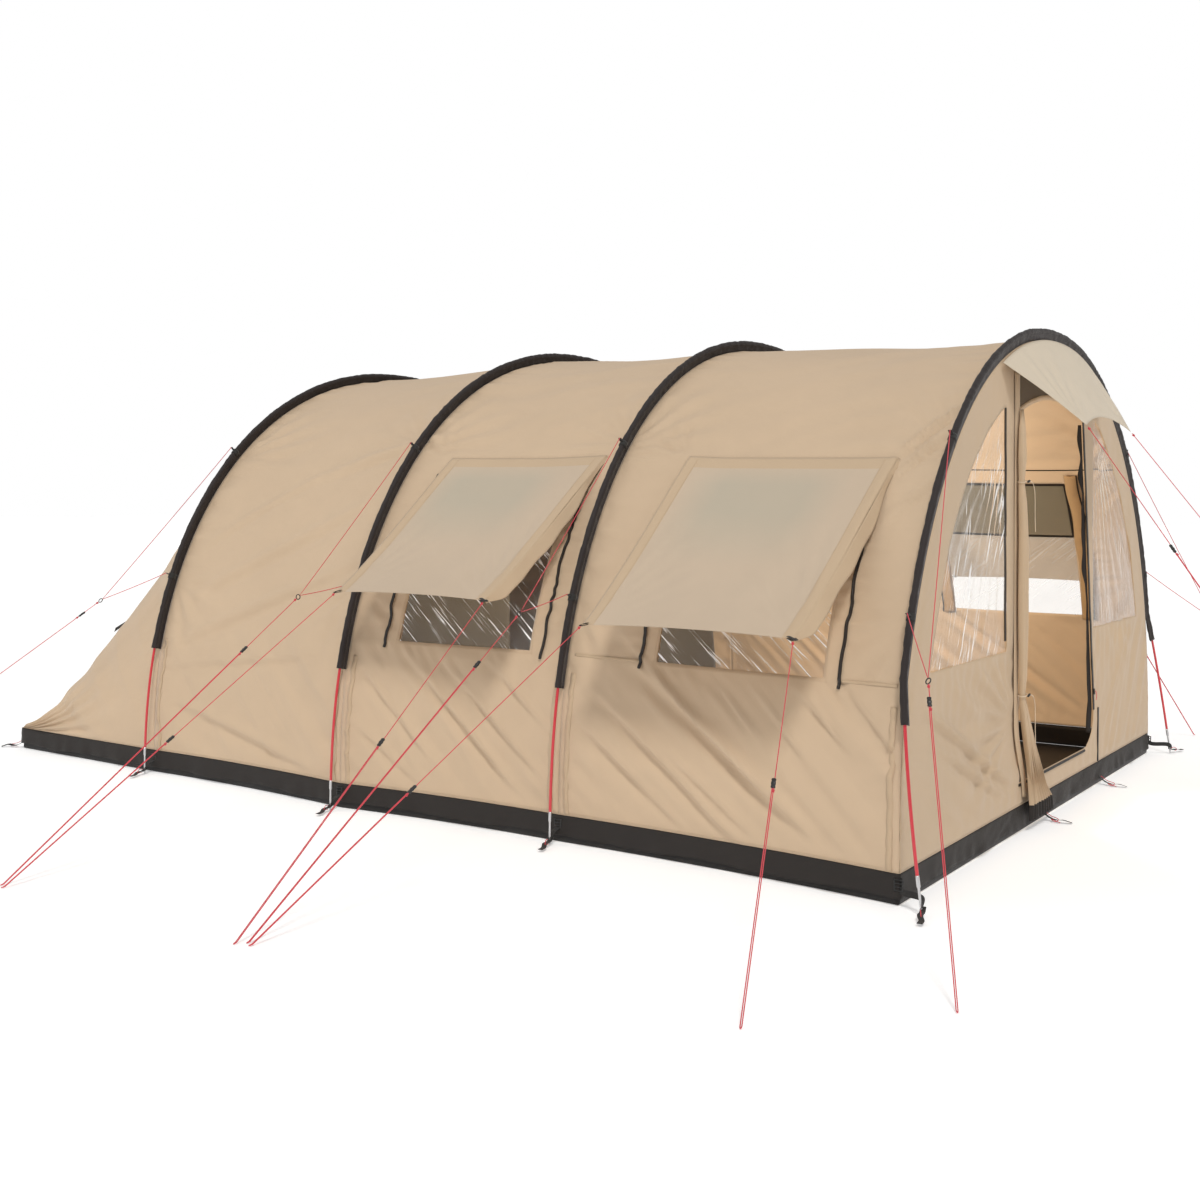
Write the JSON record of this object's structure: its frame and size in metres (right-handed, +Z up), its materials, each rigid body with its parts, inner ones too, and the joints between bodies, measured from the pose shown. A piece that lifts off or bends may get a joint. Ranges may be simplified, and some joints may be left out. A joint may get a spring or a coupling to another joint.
{
  "type": "tunnel tent on poles",
  "caption": "Family tunnel tent on arched fibreglass poles with an open front door, guyed side awnings, clear windows and adjustable guy lines.",
  "frame": {"origin": "on the ground, at the middle of the tent without its guy lines", "axes": "+X out of the front door, +Y to the far side wall (the rolled door is towards -Y), +Z up"},
  "size_m": [6.0124, 5.337, 1.9744],
  "materials": {
    "fly_cloth": "sand polyester, fine plain weave, satin coating",
    "sleeve_cloth": "dark brown matt polyester pole sleeve",
    "skirt_cloth": "dark brown matt polyester",
    "groundsheet_cloth": "black coated groundsheet",
    "window_mesh_and_pane": "insect mesh above, clear pane below",
    "clear_pane": "clear soft vinyl, glossy and creased",
    "vent_cloth": "dark brown mesh and cloth",
    "cabin_cloth": "dark breathable polyester",
    "pole_fibreglass": "red fibreglass tube with bright steel tips",
    "line_cord": "red braided cord",
    "tensioner_plastic": "black moulded nylon",
    "zip_metal": "dark painted die-cast slider"
  },
  "bodies": {
    "root": {"awning_front_far": "fly_cloth", "awning_front_near": "fly_cloth", "awning_middle_far": "fly_cloth", "awning_middle_near": "fly_cloth", "cabin_wall": "cabin_cloth", "door_vent_mesh": "vent_cloth", "fly_front_bay": "fly_cloth", "fly_middle_bay": "fly_cloth", "fly_rear_bay": "fly_cloth", "fly_skirt": "skirt_cloth", "fly_tail": "fly_cloth", "front_wall": "fly_cloth", "front_window_far": "clear_pane", "front_window_near": "clear_pane", "groundsheet": "groundsheet_cloth", "guy_front_far": "line_cord", "guy_front_near": "line_cord", "guy_rear_far": "line_cord", "guy_rear_near": "line_cord", "guy_second_far": "line_cord", "guy_second_near": "line_cord", "guy_third_far": "line_cord", "guy_third_near": "line_cord", "line_awning_front_left_far": "line_cord", "line_awning_front_left_near": "line_cord", "line_awning_front_right_far": "line_cord", "line_awning_front_right_near": "line_cord", "line_awning_middle_left_far": "line_cord", "line_awning_middle_left_near": "line_cord", "line_awning_middle_right_far": "line_cord", "line_awning_middle_right_near": "line_cord", "line_visor_far": "line_cord", "line_visor_near": "line_cord", "pole_front": "pole_fibreglass", "pole_rear": "pole_fibreglass", "pole_second": "pole_fibreglass", "pole_third": "pole_fibreglass", "rear_vent_mesh": "vent_cloth", "rolled_door": "fly_cloth", "sleeve_front": "sleeve_cloth", "sleeve_rear": "sleeve_cloth", "sleeve_second": "sleeve_cloth", "sleeve_third": "sleeve_cloth", "visor": "fly_cloth", "window_front_far": "window_mesh_and_pane", "window_front_near": "window_mesh_and_pane", "window_middle_far": "window_mesh_and_pane", "window_middle_near": "window_mesh_and_pane"},
    "tensioner_front": {"tensioner_front": "tensioner_plastic"},
    "tensioner_second": {"tensioner_second": "tensioner_plastic"},
    "tensioner_third": {"tensioner_third": "tensioner_plastic"},
    "tensioner_rear": {"tensioner_rear": "tensioner_plastic"},
    "tensioner_awning_front_right": {"tensioner_awning_front_right": "tensioner_plastic"},
    "tensioner_awning_front_left": {"tensioner_awning_front_left": "tensioner_plastic"},
    "tensioner_awning_middle_right": {"tensioner_awning_middle_right": "tensioner_plastic"},
    "tensioner_awning_middle_left": {"tensioner_awning_middle_left": "tensioner_plastic"},
    "tensioner_visor_near": {"tensioner_visor_near": "tensioner_plastic"},
    "tensioner_visor_far": {"tensioner_visor_far": "tensioner_plastic"},
    "door_zip_slider": {"door_zip_slider": "zip_metal"},
    "vent_hood": {"vent_hood": "vent_cloth"}
  },
  "joints": [
    {"name": "tensioner_front_slide", "type": "slide", "parent": "root", "child": "tensioner_front", "axis": [-0.3213, 0.6142, 0.7208], "range_m": [-0.25, 0]},
    {"name": "tensioner_second_slide", "type": "slide", "parent": "root", "child": "tensioner_second", "axis": [0.0162, 0.8156, 0.5784], "range_m": [-0.25, 0]},
    {"name": "tensioner_third_slide", "type": "slide", "parent": "root", "child": "tensioner_third", "axis": [0.0408, 0.8133, 0.5804], "range_m": [-0.25, 0]},
    {"name": "tensioner_rear_slide", "type": "slide", "parent": "root", "child": "tensioner_rear", "axis": [0.611, 0.5161, 0.6003], "range_m": [-0.25, 0]},
    {"name": "tensioner_awning_front_right_slide", "type": "slide", "parent": "root", "child": "tensioner_awning_front_right", "axis": [-0.2663, 0.7275, 0.6323], "range_m": [-0.25, 0]},
    {"name": "tensioner_awning_front_left_slide", "type": "slide", "parent": "root", "child": "tensioner_awning_front_left", "axis": [0.1813, 0.8131, 0.5532], "range_m": [-0.25, 0]},
    {"name": "tensioner_awning_middle_right_slide", "type": "slide", "parent": "root", "child": "tensioner_awning_middle_right", "axis": [-0.0758, 0.8082, 0.584], "range_m": [-0.25, 0]},
    {"name": "tensioner_awning_middle_left_slide", "type": "slide", "parent": "root", "child": "tensioner_awning_middle_left", "axis": [0.1167, 0.8168, 0.565], "range_m": [-0.25, 0]},
    {"name": "tensioner_visor_near_slide", "type": "slide", "parent": "root", "child": "tensioner_visor_near", "axis": [-0.5798, 0.1639, 0.7981], "range_m": [-0.25, 0]},
    {"name": "tensioner_visor_far_slide", "type": "slide", "parent": "root", "child": "tensioner_visor_far", "axis": [-0.5798, -0.1639, 0.7981], "range_m": [-0.25, 0]},
    {"name": "door_zip_slide", "type": "slide", "parent": "root", "child": "door_zip_slider", "axis": [0, -0.1414, 0.9899], "range_m": [0, 1]},
    {"name": "vent_hood_hinge", "type": "hinge", "parent": "root", "child": "vent_hood", "pos_m": [-2.04039, -1.05892, 0.64787], "axis": [0, 0.9506, 0.3106], "range_deg": [-38, 8]}
  ]
}
